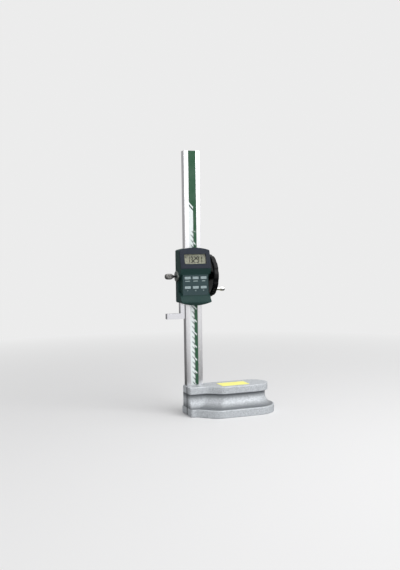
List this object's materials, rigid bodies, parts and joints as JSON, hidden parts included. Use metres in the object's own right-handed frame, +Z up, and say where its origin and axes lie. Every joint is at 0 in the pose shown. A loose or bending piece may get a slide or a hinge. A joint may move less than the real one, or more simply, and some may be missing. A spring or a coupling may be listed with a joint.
{
  "type": "height gauge",
  "caption": "Digital height gauge: cast base with side grips, flat steel column with scale strip, geared slider with display, keys, hand wheel, clamp and measuring arm.",
  "frame": {"origin": "foot of the column's axis on the surface that the base rests on", "axes": "+Z up along the column, +X from the column towards the round tail of the base, -Y towards the display"},
  "size_m": [0.2161, 0.126, 0.518],
  "materials": {
    "cast_paint": "silver-grey hammer-finish paint on cast iron",
    "column_steel": "ground stainless steel, satin",
    "rack_steel": "milled steel teeth",
    "scale_print": "printed scale strip, green and white",
    "yellow_label": "plain yellow self-adhesive film",
    "frame_steel": "milled steel",
    "green_plastic": "dark green moulded plastic, fine texture",
    "dark_bezel": "blue-black moulded plastic, semi-gloss",
    "clear_window": "clear acrylic",
    "display": "liquid crystal panel, khaki",
    "keypad_film": "printed film, blue-green grey",
    "key_rubber": "light grey key caps",
    "board": "glass-epoxy board",
    "cell": "nickel-plated cell can",
    "dark_plastic": "black plastic",
    "arm_steel": "ground and lapped tool steel",
    "bronze": "sintered bronze",
    "brass": "turned brass",
    "wheel_black": "black moulded hand wheel, semi-gloss",
    "bright_steel": "polished and plated steel",
    "knob_steel": "knurled steel",
    "screw_black": "blackened steel screws",
    "screw_zinc": "zinc-plated screws"
  },
  "bodies": {
    "stand": {"base_casting": "cast_paint", "column_clamp_block": "cast_paint", "clamp_block_screws": "screw_black", "column_beam": "column_steel", "rack": "rack_steel", "scale_strip": "scale_print", "base_label": "yellow_label"},
    "slider": {"slider_frame": "frame_steel", "gib_strip": "brass", "gib_screws": "screw_black", "shaft_bushes": "bronze", "front_housing": "green_plastic", "rear_cover": "green_plastic", "housing_screws": "screw_zinc", "display_bezel": "dark_bezel", "display_window": "clear_window", "lcd_panel": "display", "keypad_panel": "keypad_film", "circuit_board": "board", "sensor_board": "board", "battery": "cell", "battery_cap": "dark_plastic", "measuring_arm": "arm_steel", "arm_screws": "screw_black", "clamp_boss": "arm_steel"},
    "wheel": {"pinion_shaft": "rack_steel", "handwheel": "wheel_black", "wheel_screw": "bright_steel", "crank_pin": "bright_steel"},
    "crank": {"crank_knob": "bright_steel"},
    "clamp_screw": {"clamp_stud": "screw_black", "clamp_knob": "knob_steel", "clamp_pad": "brass"},
    "key_1": {"key_1": "key_rubber"},
    "key_2": {"key_2": "key_rubber"},
    "key_3": {"key_3": "key_rubber"},
    "key_4": {"key_4": "key_rubber"},
    "key_5": {"key_5": "key_rubber"},
    "key_6": {"key_6": "key_rubber"}
  },
  "joints": [
    {"name": "slider_travel", "type": "slide", "parent": "stand", "child": "slider", "axis": [0, 0, 1], "range_m": [-0.13291, 0.16709]},
    {"name": "wheel_turn", "type": "hinge", "parent": "slider", "child": "wheel", "pos_m": [0.0415, 0.01385, 0.273], "axis": [1, 0, 0], "range_deg": [-1016, 1277]},
    {"name": "crank_knob_spin", "type": "hinge", "parent": "wheel", "child": "crank", "pos_m": [0.0565, -0.00957, 0.24699], "axis": [1, 0, 0], "continuous": true},
    {"name": "clamp_screw_turn", "type": "hinge", "parent": "slider", "child": "clamp_screw", "pos_m": [-0.0485, 0, 0.273], "axis": [1, 0, 0], "range_deg": [0, 140]},
    {"name": "key_1_press", "type": "slide", "parent": "slider", "child": "key_1", "axis": [0, 1, 0], "range_m": [0, 0.0004], "stiffness_N_per_m": 1500},
    {"name": "key_2_press", "type": "slide", "parent": "slider", "child": "key_2", "axis": [0, 1, 0], "range_m": [0, 0.0004], "stiffness_N_per_m": 1500},
    {"name": "key_3_press", "type": "slide", "parent": "slider", "child": "key_3", "axis": [0, 1, 0], "range_m": [0, 0.0004], "stiffness_N_per_m": 1500},
    {"name": "key_4_press", "type": "slide", "parent": "slider", "child": "key_4", "axis": [0, 1, 0], "range_m": [0, 0.0004], "stiffness_N_per_m": 1500},
    {"name": "key_5_press", "type": "slide", "parent": "slider", "child": "key_5", "axis": [0, 1, 0], "range_m": [0, 0.0004], "stiffness_N_per_m": 1500},
    {"name": "key_6_press", "type": "slide", "parent": "slider", "child": "key_6", "axis": [0, 1, 0], "range_m": [0, 0.0004], "stiffness_N_per_m": 1500}
  ],
  "couplings": [
    {"joint": "wheel_turn", "follows": "slider_travel", "rad_per_m": 133.33}
  ]
}
